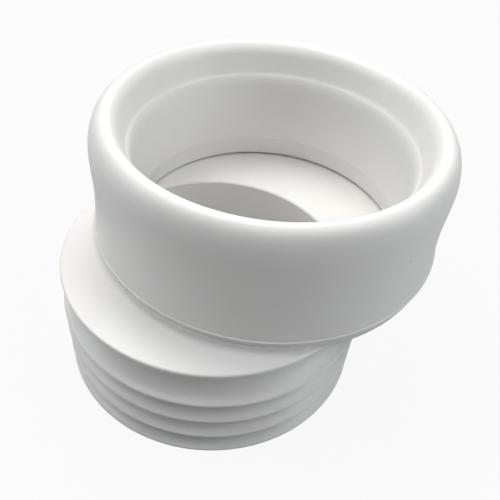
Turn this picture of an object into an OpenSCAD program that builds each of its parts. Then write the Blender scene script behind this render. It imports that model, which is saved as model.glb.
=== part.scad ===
/* [Socket] */
// Outer diameter at the fattest part of the rolled rim
rim_d = 120; // [100:1:160]
// How far the bore of the turned-in seal lies inside the rim, on each side
seal_in = 13; // [11.5:0.1:18]
// Depth of the shoulder above the seal bore, below the top of the rim
shoulder_depth = 11.4; // [9:0.1:16]
// Thickness of the turned-in seal
seal_t = 2.6; // [1.6:0.1:4]
// How far the foot of the outer wall stands out beyond the rim, on each side
foot_out = 1.3; // [0.6:0.1:3]
// How far the wall under the rim is drawn in, on each side
waist_in = 0.3; // [0:0.1:2]
// Thickness of the outer wall
wall_t = 3.2; // [2:0.1:4]
// Height of the parting line at the foot, above the flange top
foot_rise = 4.8; // [4.6:0.1:8]

/* [Spigot] */
// Distance between the socket axis and the spigot axis
offset_x = 24.5; // [16:0.5:32]
// Height of the whole sleeve
total_h = 86.6; // [86:0.2:110]
// Diameter over the sealing fins
fin_d = 106.4; // [100:0.2:150]
// How far the fins stand out beyond the spigot wall
fin_out = 5.7; // [3:0.1:8]
// Thickness of the spigot wall
spigot_t = 3; // [2:0.1:4]
// Number of sealing fins
fin_count = 4; // [2:1:4]
// Distance from one fin to the next
fin_pitch = 8.8; // [7.5:0.1:9.5]
// Thickness of a fin at its rounded tip
fin_tip_t = 1.3; // [0.8:0.1:2]

/* [Flange] */
// How far the flange that closes the spigot stands out beyond its wall
flange_out = 5; // [3:0.1:8]
// Height of the flange top above the lower end
flange_z = 42; // [40:0.2:44]
// Thickness of the flange
flange_t = 3.2; // [2:0.1:5]
// Thickness of the crescent floor inside the socket
floor_t = 2.4; // [1.6:0.1:3.5]

/* [Hidden] */
$fn = 96;
rim_r = rim_d / 2;
rim_round_w = 5;
rim_round_h = 10.6;
rim_z = total_h - rim_round_h;
crest_r = rim_r - rim_round_w;
crest_in_round = 4.2;
crest_in_end = 160;
seal_r = rim_r - seal_in;
shoulder_round = 2.2;
shoulder_end = 115;
shoulder_z = total_h - shoulder_depth - shoulder_round / 2;
lead_foot_in = 0.3;
lead_foot_rise = 0.9;
waist_r = rim_r - waist_in;
waist_drop = 12;
waist_z = rim_z - waist_drop;
foot_r = rim_r + foot_out;
foot_z = flange_z + foot_rise;
foot_step = 0.7;
foot_step_h = 0.5;
band_r = foot_r - foot_step;
band_h = 0.6;
cavity_r = waist_r - wall_t;
cavity_round = 1.9;
rim_t = 4.4;
cavity_top_z = total_h - rim_t - cavity_round;
floor_drop = 3.4;
floor_z = flange_z - floor_drop;
under_z = floor_z - floor_t;
corner_round = foot_z - foot_step_h - band_h - under_z;
dish_drop = 0.5;
ring_in = 4;
ring_r = seal_r - ring_in;
ring_w = 1;
ring_drop = 0.35;
lip_clear = 0.8;
lip_z = floor_z + lip_clear;
lip_step_rise = 7.8;
lip_step_z = lip_z + lip_step_rise;
lip_step = 0.4;
lip_flare = 1.6;
lip_tip_t = 1.1;
lip_taper_h = 2;
lip_r = seal_r + lip_flare + lip_tip_t;
trough_round = cavity_r - lip_r;
fillet_r = 2.2;
fillet_step = 0.3;
fin_r = fin_d / 2;
core_r = fin_r - fin_out;
bore_r = core_r - spigot_t;
entry_round = 2;
fin_rise = 6.4;
fin_curve = 1.8;
fin_under = 1.1;
fin_tip_r = fin_tip_t / 2;
fin_steps = 7;
flange_r = core_r + flange_out;
flange_round = 1.3;
roof_z = flange_z - flange_t;
through = 1;
wall_steps = 6;
arc_steps = 10;

// Points of an oval arc, from one angle to another, in a radius and height plane
function oval_points(mid, w, h, from, to, steps) =
    [for (i = [0 : steps])
        let (a = from + (to - from) * i / steps)
        [mid[0] + w * cos(a), mid[1] + h * sin(a)]];

// Points of a round arc in the same plane
function arc_points(mid, r, from, to, steps) = oval_points(mid, r, r, from, to, steps);

// Height of the floor at a distance from the socket axis
function dish_z(r) = floor_z - dish_drop * (1 - r / cavity_r);

// One concave fin face, from its tip in and up to its root on the wall
function cove_points(z) =
    [for (i = [0 : fin_steps])
        let (t = i / fin_steps)
        [fin_r - fin_tip_r - (fin_r - fin_tip_r - core_r) * t,
         z + fin_tip_t + (fin_rise - fin_tip_t) * pow(t, fin_curve)]];

// Outline of one fin, from the wall below it round its tip to the wall above
function fin_points(k) =
    let (z = k * fin_pitch, tip = [fin_r - fin_tip_r, z + fin_tip_r])
    concat(
        k == 0 ? [] : [[core_r, z + fin_under]],
        [[tip[0], z]],
        arc_points(tip, fin_tip_r, -60, 60, 4),
        cove_points(z)
    );

// Outside of the socket: rounded foot, parting line, wall and rolled rim
module socket_outside() {
    rotate_extrude()
        polygon(concat(
            [[0, under_z]],
            arc_points([band_r - corner_round, under_z + corner_round], corner_round, -90, 0, wall_steps),
            [[band_r, foot_z - foot_step_h]],
            [[foot_r, foot_z]],
            [for (i = [1 : wall_steps])
                let (t = i / wall_steps)
                [foot_r + (waist_r - foot_r) * sin(90 * t), foot_z + (waist_z - foot_z) * t]],
            [for (i = [1 : wall_steps - 1])
                let (t = i / wall_steps)
                [waist_r + (rim_r - waist_r) * (1 - cos(180 * t)) / 2, waist_z + (rim_z - waist_z) * t]],
            oval_points([crest_r, rim_z], rim_round_w, rim_round_h, 0, 90, arc_steps),
            [[0, total_h]]
        ));
}

// Space inside the socket, one outline: dished floor with its faint ring, trough, the hollow
// behind the turned-in seal, then round the seal's free lip and up its bore to the open top
module socket_space() {
    rotate_extrude()
        polygon(concat(
            [[0, dish_z(0) - ring_drop]],
            [[ring_r - ring_w, dish_z(ring_r) - ring_drop]],
            [[ring_r, dish_z(ring_r)]],
            arc_points([lip_r, floor_z + trough_round], trough_round, -90, 0, wall_steps),
            arc_points([cavity_r - cavity_round, cavity_top_z], cavity_round, 0, 180, arc_steps),
            [[seal_r + seal_t, shoulder_z]],
            [[seal_r + seal_t, lip_step_z + lip_taper_h]],
            [[lip_r, lip_z]],
            [[seal_r + lip_flare, lip_z]],
            [[seal_r + lip_step, lip_step_z]],
            [[seal_r, lip_step_z + lip_step]],
            arc_points([seal_r + shoulder_round, shoulder_z], shoulder_round, 180, shoulder_end, wall_steps),
            [[seal_r + shoulder_round - lead_foot_in, shoulder_z + shoulder_round + lead_foot_rise]],
            arc_points([crest_r, total_h - crest_in_round], crest_in_round, crest_in_end, 90, arc_steps),
            [[crest_r, total_h + through]],
            [[0, total_h + through]]
        ));
}

// Spigot wall with the closing flange on top and the fins around it
module spigot_outside() {
    rotate_extrude()
        polygon(concat(
            [[0, 0]],
            [for (k = [0 : fin_count - 1]) each fin_points(k)],
            [[core_r, roof_z]],
            arc_points([flange_r - flange_round, roof_z + flange_round], flange_round, -90, 0, wall_steps),
            arc_points([flange_r - flange_round, flange_z - flange_round], flange_round, 0, 90, wall_steps),
            [[0, flange_z]]
        ));
}

// Fillet where the foot of the socket stands on the flange
module foot_fillet() {
    intersection() {
        rotate_extrude()
            polygon(concat(
                [[band_r - through, roof_z + flange_round]],
                [[band_r + fillet_step + fillet_r, roof_z + flange_round]],
                arc_points([band_r + fillet_step + fillet_r, flange_z + fillet_r], fillet_r, 270, 180, wall_steps),
                [[band_r - through, flange_z + fillet_r]]
            ));
        translate([-offset_x, 0, 0])
            cylinder(r = flange_r - flange_round, h = total_h);
    }
}

// Spigot bore, closed above by the flange wherever it lies outside the socket
module spigot_bore() {
    translate([0, 0, -through])
        cylinder(r = bore_r, h = roof_z + through);
    intersection() {
        rotate_extrude()
            polygon(concat(
                [[0, 0]],
                [[bore_r, 0]],
                arc_points([bore_r + entry_round, floor_z - entry_round], entry_round, 180, 90, wall_steps),
                [[bore_r + entry_round, floor_z + trough_round]],
                [[0, floor_z + trough_round]]
            ));
        translate([offset_x, 0, 0])
            cylinder(r = cavity_r, h = total_h);
    }
}

// The sleeve is a single moulding in soft white plastic
module sleeve() {
    color([0.93, 0.93, 0.92])
        difference() {
            union() {
                spigot_outside();
                translate([offset_x, 0, 0]) {
                    socket_outside();
                    foot_fillet();
                }
            }
            translate([offset_x, 0, 0])
                socket_space();
            spigot_bore();
        }
}

sleeve();
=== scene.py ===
import math

import bmesh
import bpy
from mathutils import Matrix, Vector


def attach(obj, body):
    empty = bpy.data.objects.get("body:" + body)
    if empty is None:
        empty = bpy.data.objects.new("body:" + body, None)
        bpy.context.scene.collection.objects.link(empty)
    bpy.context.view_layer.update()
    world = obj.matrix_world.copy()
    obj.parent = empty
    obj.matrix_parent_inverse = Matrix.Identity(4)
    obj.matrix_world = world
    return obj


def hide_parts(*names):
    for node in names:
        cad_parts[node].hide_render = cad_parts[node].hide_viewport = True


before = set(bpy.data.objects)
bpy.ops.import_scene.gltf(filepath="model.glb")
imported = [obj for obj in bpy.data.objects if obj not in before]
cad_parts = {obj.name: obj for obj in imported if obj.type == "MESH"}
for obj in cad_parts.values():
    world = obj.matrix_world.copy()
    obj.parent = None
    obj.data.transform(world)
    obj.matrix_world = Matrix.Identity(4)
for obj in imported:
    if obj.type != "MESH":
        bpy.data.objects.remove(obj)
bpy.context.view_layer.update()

mm = 0.001
imageSize = 500

# What a user would change on the sleeve: lengths in millimetres, angles in degrees
sleeve = {
    "rimRadius": 60.0,
    "rimRoundWidth": 5.0,
    "rimRoundHeight": 10.6,
    "crestInWidth": 4.8,
    "crestInHeight": 6.8,
    "crestInAngle": 160,
    "totalHeight": 86.6,
    "sealIn": 13.0,
    "sealThickness": 2.6,
    "shoulderDepth": 11.4,
    "shoulderRound": 2.2,
    "shoulderFall": 6.0,
    "shoulderAngle": 108,
    "leadFootIn": 0.3,
    "leadFootRise": 0.9,
    "waistIn": 0.3,
    "waistDrop": 12.0,
    "wallThickness": 3.2,
    "rimThickness": 4.4,
    "hollowRound": 1.9,
    "footOut": 1.3,
    "footRise": 4.8,
    "footLedge": 0.45,
    "ledgeNoseIn": 0.08,
    "ledgeNoseHalf": 0.1,
    "ledgeRise": 0.3,
    "footStep": 0.7,
    "footStepHeight": 0.5,
    "bandHeight": 0.6,
    "offset": 24.5,
    "finDiameter": 106.4,
    "finOut": 5.7,
    "finCount": 4,
    "finPitch": 8.8,
    "finTip": 1.3,
    "finRise": 6.4,
    "finUnder": 1.1,
    "finRoot": 0.5,
    "finCurve": 1.8,
    "spigotThickness": 3.0,
    "entryRound": 2.0,
    "entryAngle": 150,
    "entryLeadIn": 0.5,
    "entryLeadUp": 0.2,
    "flangeOut": 5.0,
    "flangeTop": 42.0,
    "flangeThickness": 3.2,
    "flangeEdge": 1.4,
    "filletRadius": 2.2,
    "filletStep": 0.3,
    "floorDrop": 3.4,
    "floorThickness": 2.4,
    "dishDrop": 0.5,
    "ringIn": 6.3,
    "ringWidth": 0.8,
    "ringDrop": 0.3,
    "innerRingRadius": 38.5,
    "innerRingShift": 3.0,
    "ringToolRise": 2.0,
    "lipClear": 0.8,
    "lipStepRise": 7.8,
    "lipStep": 0.4,
    "lipFlare": 1.6,
    "lipTip": 1.1,
    "lipTaper": 2.0,
    "lipBevel": 0.3,
    "segments": 240,
    "wallSteps": 14,
    "rollSteps": 12,
    "coveSteps": 10,
    "waviness": 0.12,
    "waveDensity": 22.0,
    "sharpAngle": 0.6,  # in radians
    "sliver": 0.02,
    "through": 1.0,  # how far a cutting tool runs past what it cuts
    "limitZ": 10.0,  # where the limiting drums start, below the flange
}


def arcPoints(mid, radius, fromAngle, toAngle, steps, height=None):
    points = []
    for i in range(steps + 1):
        a = math.radians(fromAngle + (toAngle - fromAngle) * i / steps)
        points.append((mid[0] + radius * math.cos(a), mid[1] + (height or radius) * math.sin(a)))
    return points


def smoothStep(t):
    return (1 - math.cos(math.pi * t)) / 2


def workOutSizes(s):
    # heights and radii that follow from the sleeve's own sizes
    d = dict(s)
    d["sealRadius"] = s["rimRadius"] - s["sealIn"]
    d["crestRadius"] = s["rimRadius"] - s["rimRoundWidth"]
    d["rimZ"] = s["totalHeight"] - s["rimRoundHeight"]
    d["waistRadius"] = s["rimRadius"] - s["waistIn"]
    d["waistZ"] = d["rimZ"] - s["waistDrop"]
    d["shoulderZ"] = s["totalHeight"] - s["shoulderDepth"] - s["shoulderRound"] / 2
    d["footRadius"] = s["rimRadius"] + s["footOut"]
    d["footZ"] = s["flangeTop"] + s["footRise"]
    d["bandRadius"] = d["footRadius"] - s["footStep"]
    d["floorZ"] = s["flangeTop"] - s["floorDrop"]
    d["underZ"] = d["floorZ"] - s["floorThickness"]
    d["cornerRound"] = d["footZ"] - s["footStepHeight"] - s["bandHeight"] - d["underZ"]
    d["hollowRadius"] = d["waistRadius"] - s["wallThickness"]
    d["hollowTopZ"] = s["totalHeight"] - s["rimThickness"] - s["hollowRound"]
    d["lipZ"] = d["floorZ"] + s["lipClear"]
    d["lipStepZ"] = d["lipZ"] + s["lipStepRise"]
    d["lipRadius"] = d["sealRadius"] + s["lipFlare"] + s["lipTip"]
    d["troughRound"] = d["hollowRadius"] - d["lipRadius"]
    d["finRadius"] = s["finDiameter"] / 2
    d["coreRadius"] = d["finRadius"] - s["finOut"]
    d["boreRadius"] = d["coreRadius"] - s["spigotThickness"]
    d["flangeRadius"] = d["coreRadius"] + s["flangeOut"]
    d["roofZ"] = s["flangeTop"] - s["flangeThickness"]
    return d


# Profiles are outlines in radius and height, walked anticlockwise
def socketOutsideProfile(d):
    foot = d["footRadius"]
    footZ = d["footZ"]
    corner = d["cornerRound"]
    points = [(0, d["underZ"])]
    points += arcPoints((d["bandRadius"] - corner, d["underZ"] + corner), corner, -90, 0, steps=16)
    points.append((d["bandRadius"], footZ - d["footStepHeight"]))
    noseRadius = foot - d["ledgeNoseIn"]
    points.append((noseRadius, footZ - d["ledgeNoseHalf"]))
    points.append((foot, footZ))
    points.append((noseRadius, footZ + d["ledgeNoseHalf"]))
    wallRadius = foot - d["footLedge"]
    wallZ = footZ + d["ledgeRise"]
    for i in range(d["wallSteps"] + 1):
        t = i / d["wallSteps"]
        r = wallRadius + (d["waistRadius"] - wallRadius) * math.sin(math.pi / 2 * t)
        points.append((r, wallZ + (d["waistZ"] - wallZ) * t))
    for i in range(1, d["rollSteps"]):
        t = i / d["rollSteps"]
        r = d["waistRadius"] + (d["rimRadius"] - d["waistRadius"]) * smoothStep(t)
        points.append((r, d["waistZ"] + (d["rimZ"] - d["waistZ"]) * t))
    crestMiddle = (d["crestRadius"], d["rimZ"])
    points += arcPoints(crestMiddle, d["rimRoundWidth"], 0, 90, steps=24, height=d["rimRoundHeight"])
    points.append((0, d["totalHeight"]))
    return points


def socketSpaceProfile(d):
    # floor, trough, the hollow behind the seal, the seal's free lip and its bore up to the open top
    r = d["sealRadius"]
    slope = d["dishDrop"] / d["hollowRadius"]
    ring = r - d["ringIn"]
    ringZ = d["floorZ"] - slope * (d["hollowRadius"] - ring)
    points = [(0, d["floorZ"] - d["dishDrop"] - d["ringDrop"])]
    points += [(ring - d["ringWidth"], ringZ - d["ringDrop"]), (ring, ringZ)]
    trough = d["troughRound"]
    points += arcPoints((d["lipRadius"], d["floorZ"] + trough), trough, -90, 0, steps=12)
    hollow = d["hollowRound"]
    points += arcPoints((d["hollowRadius"] - hollow, d["hollowTopZ"]), hollow, 0, 180, steps=12)
    outside = r + d["sealThickness"]
    points += [(outside, d["shoulderZ"]), (outside, d["lipStepZ"] + d["lipTaper"])]
    points.append((d["lipRadius"], d["lipZ"] + d["lipBevel"]))
    points.append((d["lipRadius"] - d["lipBevel"], d["lipZ"]))
    points.append((r + d["lipFlare"], d["lipZ"]))
    points += [(r + d["lipStep"], d["lipStepZ"]), (r, d["lipStepZ"] + d["lipStep"])]
    ridge = d["shoulderRound"]
    fall = d["shoulderFall"]
    ridgeZ = d["shoulderZ"] + ridge - fall
    points += arcPoints((r + ridge, ridgeZ), ridge, 180, d["shoulderAngle"], steps=14, height=fall)
    points.append((r + ridge - d["leadFootIn"], d["shoulderZ"] + ridge + d["leadFootRise"]))
    inHeight = d["crestInHeight"]
    inMiddle = (d["crestRadius"], d["totalHeight"] - inHeight)
    points += arcPoints(inMiddle, d["crestInWidth"], d["crestInAngle"], 90, steps=16, height=inHeight)
    above = d["totalHeight"] + d["through"]
    points += [(d["crestRadius"], above), (0, above)]
    return points


def innerRingProfile(d):
    # a second faint ring on the floor, off the socket's axis
    slope = d["dishDrop"] / d["hollowRadius"]
    ring = d["innerRingRadius"]
    z = d["floorZ"] - slope * (d["hollowRadius"] - ring) - d["ringDrop"]
    low = z - d["ringDrop"]
    above = z + d["ringToolRise"]
    return [(0, low), (ring - d["ringWidth"], low), (ring, z), (ring, above), (0, above)]


def spigotOutsideProfile(d):
    core = d["coreRadius"]
    tipR = d["finTip"] / 2
    reach = d["finRadius"] - tipR
    climb = d["finRise"] - d["finTip"]
    points = [(0, 0)]
    for k in range(d["finCount"]):
        z = k * d["finPitch"]
        if k > 0:
            points += [(core, z + d["finUnder"] + d["finRoot"]), (core + d["finRoot"], z + d["finUnder"])]
        points += arcPoints((reach, z + tipR), tipR, -90, 60, steps=8)
        for i in range(d["coveSteps"] + 1):
            t = i / d["coveSteps"]
            points.append((reach - (reach - core) * t, z + d["finTip"] + climb * t ** d["finCurve"]))
    # the flange is thick at the wall and runs out to a thin rounded edge
    edge = d["flangeEdge"] / 2
    points.append((core, d["roofZ"]))
    points += arcPoints((d["flangeRadius"] - edge, d["flangeTop"] - edge), edge, -90, 90, steps=14)
    points.append((0, d["flangeTop"]))
    return points


def boreProfile(d):
    r = d["boreRadius"]
    low = -d["through"]
    return [(0, low), (r, low), (r, d["roofZ"]), (0, d["roofZ"])]


def entryProfile(d):
    # rounds the floor's edge over into the spigot bore; it starts inside the bore, which is already open
    r = d["boreRadius"]
    bend = d["entryRound"]
    startZ = d["floorZ"] - bend
    topZ = d["floorZ"] + d["troughRound"]
    low = startZ - d["through"]
    points = [(0, low), (r - d["through"], low), (r - d["entryLeadIn"], startZ + d["entryLeadUp"])]
    points += arcPoints((r + bend, startZ), bend, d["entryAngle"], 90, steps=10)
    points += [(r + bend, topZ), (0, topZ)]
    return points


def filletProfile(d):
    # where the foot of the socket stands on the flange
    f = d["filletRadius"]
    lowZ = d["flangeTop"] - d["flangeEdge"] / 2
    topZ = d["flangeTop"] + f
    inner = d["bandRadius"] - d["through"]
    outer = d["bandRadius"] + d["filletStep"] + f
    points = [(inner, lowZ), (outer, lowZ)]
    points += arcPoints((outer, topZ), f, 270, 180, steps=12)
    points.append((inner, topZ))
    return points


def limitProfile(d, r):
    # a plain drum that keeps another tool inside a radius
    return [(0, d["limitZ"]), (r, d["limitZ"]), (r, d["hollowTopZ"]), (0, d["hollowTopZ"])]


def socketLimitProfile(d):
    return limitProfile(d, d["hollowRadius"])


def flangeLimitProfile(d):
    return limitProfile(d, d["flangeRadius"] - d["flangeEdge"])


# Each profile's place here is the number that marks its outline
profiles = (
    socketOutsideProfile,
    spigotOutsideProfile,
    socketSpaceProfile,
    innerRingProfile,
    boreProfile,
    entryProfile,
    filletProfile,
    socketLimitProfile,
    flangeLimitProfile,
)


def makeOutlineObject(name, outlines):
    mesh = bpy.data.meshes.new(name)
    verts = []
    edges = []
    marks = []
    for k, points in enumerate(outlines):
        loop = [(r * mm, 0.0, z * mm) for r, z in points]
        if points[0][0] > 0:
            loop.append(loop[0])  # a ring-shaped tool closes on itself
        start = len(verts)
        verts += loop
        edges += [(start + i, start + i + 1) for i in range(len(loop) - 1)]
        marks += [k] * len(loop)
    mesh.from_pydata(verts, edges, [])
    mark = mesh.attributes.new("outline", "INT", "POINT")
    for i, value in enumerate(marks):
        mark.data[i].value = value
    obj = bpy.data.objects.new(name, mesh)
    bpy.context.scene.collection.objects.link(obj)
    return obj


def addSocket(tree, name, direction, kind):
    tree.interface.new_socket(name=name, in_out=direction, socket_type=kind)


def addNode(tree, kind, **settings):
    node = tree.nodes.new(kind)
    for key, value in settings.items():
        setattr(node, key, value)
    return node


def mathNode(tree, operation, a, b=None):
    node = addNode(tree, "ShaderNodeMath", operation=operation)
    for slot, value in ((0, a), (1, b)):
        if value is None:
            continue
        if isinstance(value, (int, float)):
            node.inputs[slot].default_value = value
        else:
            tree.links.new(value, node.inputs[slot])
    return node.outputs[0]


def makeTurnGroup():
    # turns one marked outline about an upright axis into a closed, outward-facing solid
    tree = bpy.data.node_groups.new("turnedOutline", "GeometryNodeTree")
    addSocket(tree, "Outlines", "INPUT", "NodeSocketGeometry")
    addSocket(tree, "Outline", "INPUT", "NodeSocketInt")
    addSocket(tree, "Axis X", "INPUT", "NodeSocketFloat")
    addSocket(tree, "Segments", "INPUT", "NodeSocketInt")
    addSocket(tree, "Solid", "OUTPUT", "NodeSocketGeometry")
    link = tree.links.new
    entry = addNode(tree, "NodeGroupInput")
    leave = addNode(tree, "NodeGroupOutput")
    mark = addNode(tree, "GeometryNodeInputNamedAttribute", data_type="INT")
    mark.inputs["Name"].default_value = "outline"
    same = addNode(tree, "FunctionNodeCompare", data_type="INT", operation="EQUAL")
    link(mark.outputs["Attribute"], same.inputs["A"])
    link(entry.outputs["Outline"], same.inputs["B"])
    pick = addNode(tree, "GeometryNodeSeparateGeometry", domain="POINT")
    link(entry.outputs["Outlines"], pick.inputs["Geometry"])
    link(same.outputs["Result"], pick.inputs["Selection"])
    size = addNode(tree, "GeometryNodeAttributeDomainSize", component="MESH")
    link(pick.outputs["Selection"], size.inputs["Geometry"])
    count = size.outputs["Point Count"]
    rows = mathNode(tree, "ADD", entry.outputs["Segments"], 1)
    grid = addNode(tree, "GeometryNodeMeshGrid")
    link(rows, grid.inputs["Vertices X"])
    link(count, grid.inputs["Vertices Y"])
    index = addNode(tree, "GeometryNodeInputIndex").outputs[0]
    # half a step keeps each division clear of a whole number
    row = mathNode(tree, "FLOOR", mathNode(tree, "DIVIDE", mathNode(tree, "ADD", index, 0.5), count))
    along = mathNode(tree, "SUBTRACT", index, mathNode(tree, "MULTIPLY", row, count))
    place = addNode(tree, "GeometryNodeInputPosition")
    sample = addNode(tree, "GeometryNodeSampleIndex", data_type="FLOAT_VECTOR", domain="POINT")
    link(pick.outputs["Selection"], sample.inputs["Geometry"])
    link(place.outputs[0], sample.inputs["Value"])
    link(along, sample.inputs["Index"])
    parts = addNode(tree, "ShaderNodeSeparateXYZ")
    link(sample.outputs["Value"], parts.inputs[0])
    turn = mathNode(tree, "MULTIPLY", mathNode(tree, "DIVIDE", row, entry.outputs["Segments"]), 2 * math.pi)
    across = mathNode(tree, "MULTIPLY", parts.outputs["X"], mathNode(tree, "COSINE", turn))
    aside = mathNode(tree, "MULTIPLY", parts.outputs["X"], mathNode(tree, "SINE", turn))
    spot = addNode(tree, "ShaderNodeCombineXYZ")
    link(mathNode(tree, "ADD", across, entry.outputs["Axis X"]), spot.inputs["X"])
    link(aside, spot.inputs["Y"])
    link(parts.outputs["Z"], spot.inputs["Z"])
    move = addNode(tree, "GeometryNodeSetPosition")
    link(grid.outputs["Mesh"], move.inputs["Geometry"])
    link(spot.outputs[0], move.inputs["Position"])
    weld = addNode(tree, "GeometryNodeMergeByDistance")
    weld.inputs["Distance"].default_value = 1e-6
    link(move.outputs["Geometry"], weld.inputs["Geometry"])
    link(weld.outputs["Geometry"], leave.inputs["Solid"])
    return tree


def makeSleeveTree(turnGroup):
    # joins the outside solids, cuts the hollows, then gives the skin its slight unevenness
    tree = bpy.data.node_groups.new("sleeveMoulding", "GeometryNodeTree")
    addSocket(tree, "Outlines", "INPUT", "NodeSocketGeometry")
    addSocket(tree, "Offset", "INPUT", "NodeSocketFloat")
    addSocket(tree, "Ring Shift", "INPUT", "NodeSocketFloat")
    addSocket(tree, "Segments", "INPUT", "NodeSocketInt")
    addSocket(tree, "Waviness", "INPUT", "NodeSocketFloat")
    addSocket(tree, "Wave Density", "INPUT", "NodeSocketFloat")
    addSocket(tree, "Sharp Angle", "INPUT", "NodeSocketFloat")
    addSocket(tree, "Material", "INPUT", "NodeSocketMaterial")
    addSocket(tree, "Geometry", "OUTPUT", "NodeSocketGeometry")
    link = tree.links.new
    entry = addNode(tree, "NodeGroupInput")
    leave = addNode(tree, "NodeGroupOutput")

    def turned(profile, axis=None):
        # with no axis given, the outline turns about the spigot's own
        node = addNode(tree, "GeometryNodeGroup", node_tree=turnGroup)
        link(entry.outputs["Outlines"], node.inputs["Outlines"])
        link(entry.outputs["Segments"], node.inputs["Segments"])
        node.inputs["Outline"].default_value = profiles.index(profile)
        if axis is not None:
            link(axis, node.inputs["Axis X"])
        return node.outputs["Solid"]

    def combine(operation, *solids):
        node = addNode(tree, "GeometryNodeMeshBoolean", operation=operation, solver="EXACT")
        others = solids
        if operation == "DIFFERENCE":
            link(solids[0], node.inputs["Mesh 1"])
            others = solids[1:]
        for solid in others:
            link(solid, node.inputs["Mesh 2"])
        return node.outputs["Mesh"]

    socketAxis = entry.outputs["Offset"]
    ringAxis = mathNode(tree, "SUBTRACT", socketAxis, entry.outputs["Ring Shift"])
    fillet = combine("INTERSECT", turned(filletProfile, socketAxis), turned(flangeLimitProfile))
    body = combine("UNION", turned(socketOutsideProfile, socketAxis), turned(spigotOutsideProfile), fillet)
    mouth = combine("INTERSECT", turned(entryProfile), turned(socketLimitProfile, socketAxis))
    socketSpace = turned(socketSpaceProfile, socketAxis)
    innerRing = turned(innerRingProfile, ringAxis)
    bore = turned(boreProfile)
    for tool in (socketSpace, innerRing, bore, mouth):
        body = combine("DIFFERENCE", body, tool)

    noise = addNode(tree, "ShaderNodeTexNoise", noise_dimensions="3D")
    noise.inputs["Detail"].default_value = 1.0
    link(entry.outputs["Wave Density"], noise.inputs["Scale"])
    centred = addNode(tree, "ShaderNodeVectorMath", operation="SUBTRACT")
    centred.inputs[1].default_value = (0.5, 0.5, 0.5)
    link(noise.outputs["Color"], centred.inputs[0])
    swell = addNode(tree, "ShaderNodeVectorMath", operation="SCALE")
    link(centred.outputs[0], swell.inputs[0])
    link(entry.outputs["Waviness"], swell.inputs["Scale"])
    move = addNode(tree, "GeometryNodeSetPosition")
    link(body, move.inputs["Geometry"])
    link(swell.outputs[0], move.inputs["Offset"])
    weld = addNode(tree, "GeometryNodeMergeByDistance")
    weld.inputs["Distance"].default_value = 2e-6
    link(move.outputs["Geometry"], weld.inputs["Geometry"])
    angle = addNode(tree, "GeometryNodeInputMeshEdgeAngle")
    soft = addNode(tree, "FunctionNodeCompare", data_type="FLOAT", operation="LESS_THAN")
    link(angle.outputs["Unsigned Angle"], soft.inputs["A"])
    link(entry.outputs["Sharp Angle"], soft.inputs["B"])
    faces = addNode(tree, "GeometryNodeSetShadeSmooth", domain="FACE")
    link(weld.outputs["Geometry"], faces.inputs["Geometry"])
    edges = addNode(tree, "GeometryNodeSetShadeSmooth", domain="EDGE")
    link(faces.outputs["Geometry"], edges.inputs["Geometry"])
    link(soft.outputs["Result"], edges.inputs["Shade Smooth"])
    real = addNode(tree, "GeometryNodeRealizeInstances")
    link(edges.outputs["Geometry"], real.inputs["Geometry"])
    dress = addNode(tree, "GeometryNodeSetMaterial")
    link(real.outputs["Geometry"], dress.inputs["Geometry"])
    link(entry.outputs["Material"], dress.inputs["Material"])
    link(dress.outputs["Geometry"], leave.inputs["Geometry"])
    return tree


def setInput(modifier, name, value):
    for item in modifier.node_group.interface.items_tree:
        if item.item_type == "SOCKET" and item.in_out == "INPUT" and item.name == name:
            modifier[item.identifier] = value


def clearSlivers(mesh):
    # the cuts leave slivers that would shade as dark lines, and a few hairline holes
    work = bmesh.new()
    work.from_mesh(mesh)
    bmesh.ops.remove_doubles(work, verts=work.verts, dist=sleeve["sliver"] * mm)
    bmesh.ops.dissolve_degenerate(work, edges=work.edges, dist=sleeve["sliver"] * mm)
    bmesh.ops.triangulate(work, faces=[f for f in work.faces if len(f.verts) > 4])
    bmesh.ops.dissolve_degenerate(work, edges=work.edges, dist=sleeve["sliver"] * mm)
    bmesh.ops.holes_fill(work, edges=[e for e in work.edges if len(e.link_faces) == 1], sides=8)
    work.to_mesh(mesh)
    work.free()


def makeSleeve(material):
    sizes = workOutSizes(sleeve)
    source = makeOutlineObject("sleeveOutlines", [profile(sizes) for profile in profiles])
    modifier = source.modifiers.new("sleeveMoulding", "NODES")
    modifier.node_group = makeSleeveTree(makeTurnGroup())
    setInput(modifier, "Offset", sleeve["offset"] * mm)
    setInput(modifier, "Ring Shift", sleeve["innerRingShift"] * mm)
    setInput(modifier, "Segments", sleeve["segments"])
    setInput(modifier, "Waviness", sleeve["waviness"] * mm)
    setInput(modifier, "Wave Density", sleeve["waveDensity"])
    setInput(modifier, "Sharp Angle", sleeve["sharpAngle"])
    setInput(modifier, "Material", material)
    graph = bpy.context.evaluated_depsgraph_get()
    mesh = bpy.data.meshes.new_from_object(source.evaluated_get(graph), depsgraph=graph)
    source.modifiers.clear()
    bpy.data.objects.remove(source)
    mesh.name = "sleeveMoulding"
    clearSlivers(mesh)
    piece = bpy.data.objects.new("sleeveMoulding", mesh)
    bpy.context.scene.collection.objects.link(piece)
    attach(piece, "root")
    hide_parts("sleeve")
    print("sleeve moulded:", len(mesh.vertices), "points,", len(mesh.polygons), "faces")


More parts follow.
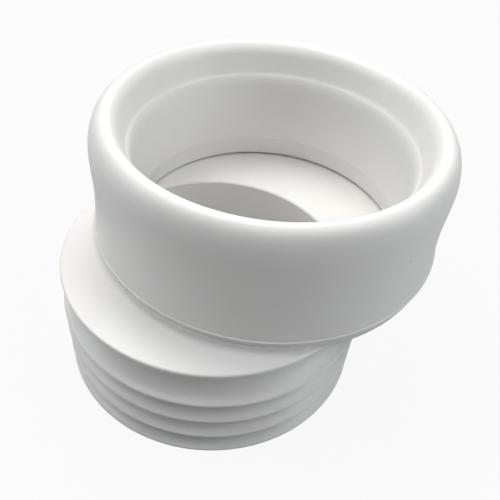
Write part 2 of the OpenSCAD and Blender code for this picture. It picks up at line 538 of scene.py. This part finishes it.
# Soft white plastic: colours are linear, densities are per metre
plastic = {
    "base": (0.885, 0.878, 0.857, 1.0),
    "shade": (0.86, 0.852, 0.83, 1.0),
    "speck": (0.10, 0.09, 0.08, 1.0),
    "roughLow": 0.3,
    "roughHigh": 0.4,
    "cloudDensity": 38.0,
    "cloudLow": 0.45,
    "cloudHigh": 0.75,
    "cloudHeight": 0.5,
    "grainDensity": 900.0,
    "grainHeight": 0.12,
    "speckDensity": 90.0,
    "speckSize": 0.035,
    "speckRarity": 0.72,
    "speckDepth": 0.4,
    "bumpDistance": 0.0004,
    "bumpStrength": 0.25,
    "softness": 0.12,
    "softRadius": (0.004, 0.0035, 0.003),
    "softScale": 0.5,
    "gloss": 0.45,
}

# The skin's inputs: socket name, socket kind, and the name in the dictionary above
skinInputs = (
    ("Base", "NodeSocketColor", "base"),
    ("Shade", "NodeSocketColor", "shade"),
    ("Speck", "NodeSocketColor", "speck"),
    ("Rough Low", "NodeSocketFloat", "roughLow"),
    ("Rough High", "NodeSocketFloat", "roughHigh"),
    ("Cloud Density", "NodeSocketFloat", "cloudDensity"),
    ("Cloud Low", "NodeSocketFloat", "cloudLow"),
    ("Cloud High", "NodeSocketFloat", "cloudHigh"),
    ("Cloud Height", "NodeSocketFloat", "cloudHeight"),
    ("Grain Density", "NodeSocketFloat", "grainDensity"),
    ("Grain Height", "NodeSocketFloat", "grainHeight"),
    ("Speck Density", "NodeSocketFloat", "speckDensity"),
    ("Speck Size", "NodeSocketFloat", "speckSize"),
    ("Speck Rarity", "NodeSocketFloat", "speckRarity"),
    ("Speck Depth", "NodeSocketFloat", "speckDepth"),
)


def makeMouldedSkin():
    # cloudy tone, rare dark specks and a faint moulded grain
    tree = bpy.data.node_groups.new("mouldedSkin", "ShaderNodeTree")
    addSocket(tree, "Vector", "INPUT", "NodeSocketVector")
    for name, kind, key in skinInputs:
        addSocket(tree, name, "INPUT", kind)
    addSocket(tree, "Color", "OUTPUT", "NodeSocketColor")
    addSocket(tree, "Roughness", "OUTPUT", "NodeSocketFloat")
    addSocket(tree, "Height", "OUTPUT", "NodeSocketFloat")
    link = tree.links.new
    entry = addNode(tree, "NodeGroupInput")
    leave = addNode(tree, "NodeGroupOutput")

    cloud = addNode(tree, "ShaderNodeTexNoise", noise_dimensions="3D")
    cloud.inputs["Detail"].default_value = 4.0
    link(entry.outputs["Vector"], cloud.inputs["Vector"])
    link(entry.outputs["Cloud Density"], cloud.inputs["Scale"])
    cloudMask = addNode(tree, "ShaderNodeMapRange")
    link(entry.outputs["Cloud Low"], cloudMask.inputs["From Min"])
    link(entry.outputs["Cloud High"], cloudMask.inputs["From Max"])
    link(cloud.outputs[0], cloudMask.inputs["Value"])
    tone = addNode(tree, "ShaderNodeMix", data_type="RGBA")
    link(cloudMask.outputs["Result"], tone.inputs["Factor"])
    link(entry.outputs["Base"], tone.inputs["A"])
    link(entry.outputs["Shade"], tone.inputs["B"])

    cells = addNode(tree, "ShaderNodeTexVoronoi", feature="F1", voronoi_dimensions="3D")
    link(entry.outputs["Vector"], cells.inputs["Vector"])
    link(entry.outputs["Speck Density"], cells.inputs["Scale"])
    pick = addNode(tree, "ShaderNodeSeparateColor")
    link(cells.outputs["Color"], pick.inputs[0])
    dotSize = mathNode(tree, "MULTIPLY", pick.outputs[1], entry.outputs["Speck Size"])
    near = mathNode(tree, "LESS_THAN", cells.outputs["Distance"], dotSize)
    rare = mathNode(tree, "GREATER_THAN", pick.outputs[0], entry.outputs["Speck Rarity"])
    speckMask = mathNode(tree, "MULTIPLY", near, rare)
    spotted = addNode(tree, "ShaderNodeMix", data_type="RGBA")
    link(speckMask, spotted.inputs["Factor"])
    link(tone.outputs["Result"], spotted.inputs["A"])
    link(entry.outputs["Speck"], spotted.inputs["B"])
    link(spotted.outputs["Result"], leave.inputs["Color"])

    grain = addNode(tree, "ShaderNodeTexNoise", noise_dimensions="3D")
    grain.inputs["Detail"].default_value = 3.0
    link(entry.outputs["Vector"], grain.inputs["Vector"])
    link(entry.outputs["Grain Density"], grain.inputs["Scale"])
    rough = addNode(tree, "ShaderNodeMapRange")
    link(cloud.outputs[0], rough.inputs["Value"])
    link(entry.outputs["Rough Low"], rough.inputs["To Min"])
    link(entry.outputs["Rough High"], rough.inputs["To Max"])
    link(rough.outputs["Result"], leave.inputs["Roughness"])
    fine = mathNode(tree, "MULTIPLY", grain.outputs[0], entry.outputs["Grain Height"])
    broad = mathNode(tree, "MULTIPLY", cloud.outputs[0], entry.outputs["Cloud Height"])
    pit = mathNode(tree, "MULTIPLY", speckMask, entry.outputs["Speck Depth"])
    level = mathNode(tree, "SUBTRACT", mathNode(tree, "ADD", fine, broad), pit)
    link(level, leave.inputs["Height"])
    return tree


def makePlastic(p):
    material = bpy.data.materials.new("softWhitePlastic")
    material.use_nodes = True
    tree = material.node_tree
    link = tree.links.new
    shader = tree.nodes["Principled BSDF"]
    coords = addNode(tree, "ShaderNodeTexCoord")
    skin = addNode(tree, "ShaderNodeGroup", node_tree=makeMouldedSkin())
    link(coords.outputs["Object"], skin.inputs["Vector"])
    for name, kind, key in skinInputs:
        skin.inputs[name].default_value = p[key]
    link(skin.outputs["Color"], shader.inputs["Base Color"])
    link(skin.outputs["Roughness"], shader.inputs["Roughness"])
    bump = addNode(tree, "ShaderNodeBump")
    bump.inputs["Distance"].default_value = p["bumpDistance"]
    bump.inputs["Strength"].default_value = p["bumpStrength"]
    link(skin.outputs["Height"], bump.inputs["Height"])
    link(bump.outputs["Normal"], shader.inputs["Normal"])
    shader.inputs["Subsurface Weight"].default_value = p["softness"]
    shader.inputs["Subsurface Radius"].default_value = p["softRadius"]
    shader.inputs["Subsurface Scale"].default_value = p["softScale"]
    shader.inputs["Specular IOR Level"].default_value = p["gloss"]
    return material


# Floor, in metres: it glows for the camera alone, which keeps it pale and lights nothing
floor = {
    "size": 6.0,
    "color": (0.5, 0.5, 0.5, 1.0),
    "roughness": 0.9,
    "glow": 0.92,
}


def makeFloor(f):
    mesh = bpy.data.meshes.new("floorSheet")
    h = f["size"] / 2
    mesh.from_pydata([(-h, -h, 0), (h, -h, 0), (h, h, 0), (-h, h, 0)], [], [(0, 1, 2, 3)])
    sheet = bpy.data.objects.new("floorSheet", mesh)
    bpy.context.scene.collection.objects.link(sheet)
    material = bpy.data.materials.new("paleFloor")
    material.use_nodes = True
    tree = material.node_tree
    shader = tree.nodes["Principled BSDF"]
    shader.inputs["Base Color"].default_value = f["color"]
    shader.inputs["Roughness"].default_value = f["roughness"]
    glow = addNode(tree, "ShaderNodeEmission")
    path = addNode(tree, "ShaderNodeLightPath")
    blend = addNode(tree, "ShaderNodeMixShader")
    tree.links.new(mathNode(tree, "MULTIPLY", path.outputs["Is Camera Ray"], f["glow"]), blend.inputs[0])
    tree.links.new(shader.outputs[0], blend.inputs[1])
    tree.links.new(glow.outputs[0], blend.inputs[2])
    tree.links.new(blend.outputs[0], tree.nodes["Material Output"].inputs["Surface"])
    mesh.materials.append(material)


lampAimHeight = 0.05  # in metres, about half way up the sleeve

# Lamps stand round the camera's own direction: turn 0 is behind the camera, 180 is behind the sleeve
# turn and rise are in degrees, away and size in metres, power in watts
lamps = {
    "key": {"turn": 205, "rise": 66, "away": 0.9, "size": 0.5, "power": 4.2, "color": (1.0, 0.98, 0.94)},
    "left": {"turn": -80, "rise": 20, "away": 1.0, "size": 0.6, "power": 1.5, "color": (0.88, 0.94, 1.0)},
    "right": {"turn": 80, "rise": 20, "away": 1.0, "size": 0.6, "power": 2.1, "color": (0.88, 0.94, 1.0)},
    "front": {"turn": 10, "rise": 62, "away": 0.9, "size": 0.25, "power": 0.6, "color": (1.0, 0.99, 0.97)},
    "back": {"turn": 180, "rise": 25, "away": 1.0, "size": 0.6, "power": 2.6, "color": (1.0, 1.0, 1.0)},
    "highLeft": {"turn": -90, "rise": 55, "away": 0.9, "size": 0.6, "power": 2.5, "color": (0.97, 0.98, 1.0)},
    "highRight": {"turn": 90, "rise": 55, "away": 0.9, "size": 0.6, "power": 2.1, "color": (0.97, 0.98, 1.0)},
}

# Weak light from all round, which the camera sees at seen
surroundings = {
    "level": 0.03,
    "seen": 1.0,
    "color": (0.98, 0.99, 1.0, 1.0),
}

# The photograph's eye, found from the sleeve's own circles, in millimetres and degrees
eye = {
    "sensorWidth": 36.0,
    "clipNear": 10.0,
    "clipFar": 20000.0,
    "focalPixels": 573.0,
    "away": 163.9,
    "height": 178.8,
    "aimAside": -4.52,
    "aimHeight": 25.65,
    "roll": -5.85,
    "turn": -50.53,
}


def socketMiddle():
    return Vector((sleeve["offset"] * mm, 0, 0))


def makeEye(e):
    swing = Matrix.Rotation(math.radians(e["turn"]), 3, "Z")
    spot = Vector((0, -e["away"], e["height"]))
    aim = Vector((e["aimAside"], 0, e["aimHeight"]))
    ahead = (aim - spot).normalized()
    right = ahead.cross(Vector((0, 0, 1))).normalized()
    down = ahead.cross(right)
    c, s = math.cos(math.radians(e["roll"])), math.sin(math.radians(e["roll"]))
    rolledRight = c * right + s * down
    rolledDown = -s * right + c * down
    axes = Matrix((rolledRight, -rolledDown, -ahead)).transposed()
    data = bpy.data.cameras.new("photographEye")
    data.sensor_width = e["sensorWidth"]
    data.sensor_fit = "HORIZONTAL"
    data.lens = e["sensorWidth"] * e["focalPixels"] / imageSize
    data.clip_start = e["clipNear"] * mm
    data.clip_end = e["clipFar"] * mm
    camera = bpy.data.objects.new("photographEye", data)
    place = (swing @ axes).to_4x4()
    place.translation = socketMiddle() + swing @ (spot * mm)
    camera.matrix_world = place
    bpy.context.scene.collection.objects.link(camera)
    bpy.context.scene.camera = camera


def makeLamps():
    facing = math.radians(-90 + eye["turn"])
    for name, lamp in lamps.items():
        data = bpy.data.lights.new(name + "Lamp", "AREA")
        data.shape = "DISK"
        data.size = lamp["size"]
        data.energy = lamp["power"]
        data.color = lamp["color"]
        obj = bpy.data.objects.new(name + "Lamp", data)
        around = facing + math.radians(lamp["turn"])
        rise = math.radians(lamp["rise"])
        level = math.cos(rise)
        toward = Vector((math.cos(around) * level, math.sin(around) * level, math.sin(rise)))
        middle = Vector((0, 0, lampAimHeight))
        obj.location = middle + toward * lamp["away"]
        obj.rotation_euler = toward.to_track_quat("Z", "Y").to_euler()
        bpy.context.scene.collection.objects.link(obj)


def makeSurroundings(w):
    world = bpy.data.worlds.new("studio")
    world.use_nodes = True
    tree = world.node_tree
    back = tree.nodes["Background"]
    back.inputs["Color"].default_value = w["color"]
    path = addNode(tree, "ShaderNodeLightPath")
    level = addNode(tree, "ShaderNodeMapRange")
    level.inputs["To Min"].default_value = w["level"]
    level.inputs["To Max"].default_value = w["seen"]
    tree.links.new(path.outputs["Is Camera Ray"], level.inputs["Value"])
    tree.links.new(level.outputs["Result"], back.inputs["Strength"])
    bpy.context.scene.world = world


makeEye(eye)
makeFloor(floor)
makeLamps()
makeSurroundings(surroundings)
bpy.context.scene.view_settings.view_transform = "Standard"
print("studio set")
softPlastic = makePlastic(plastic)
makeSleeve(softPlastic)
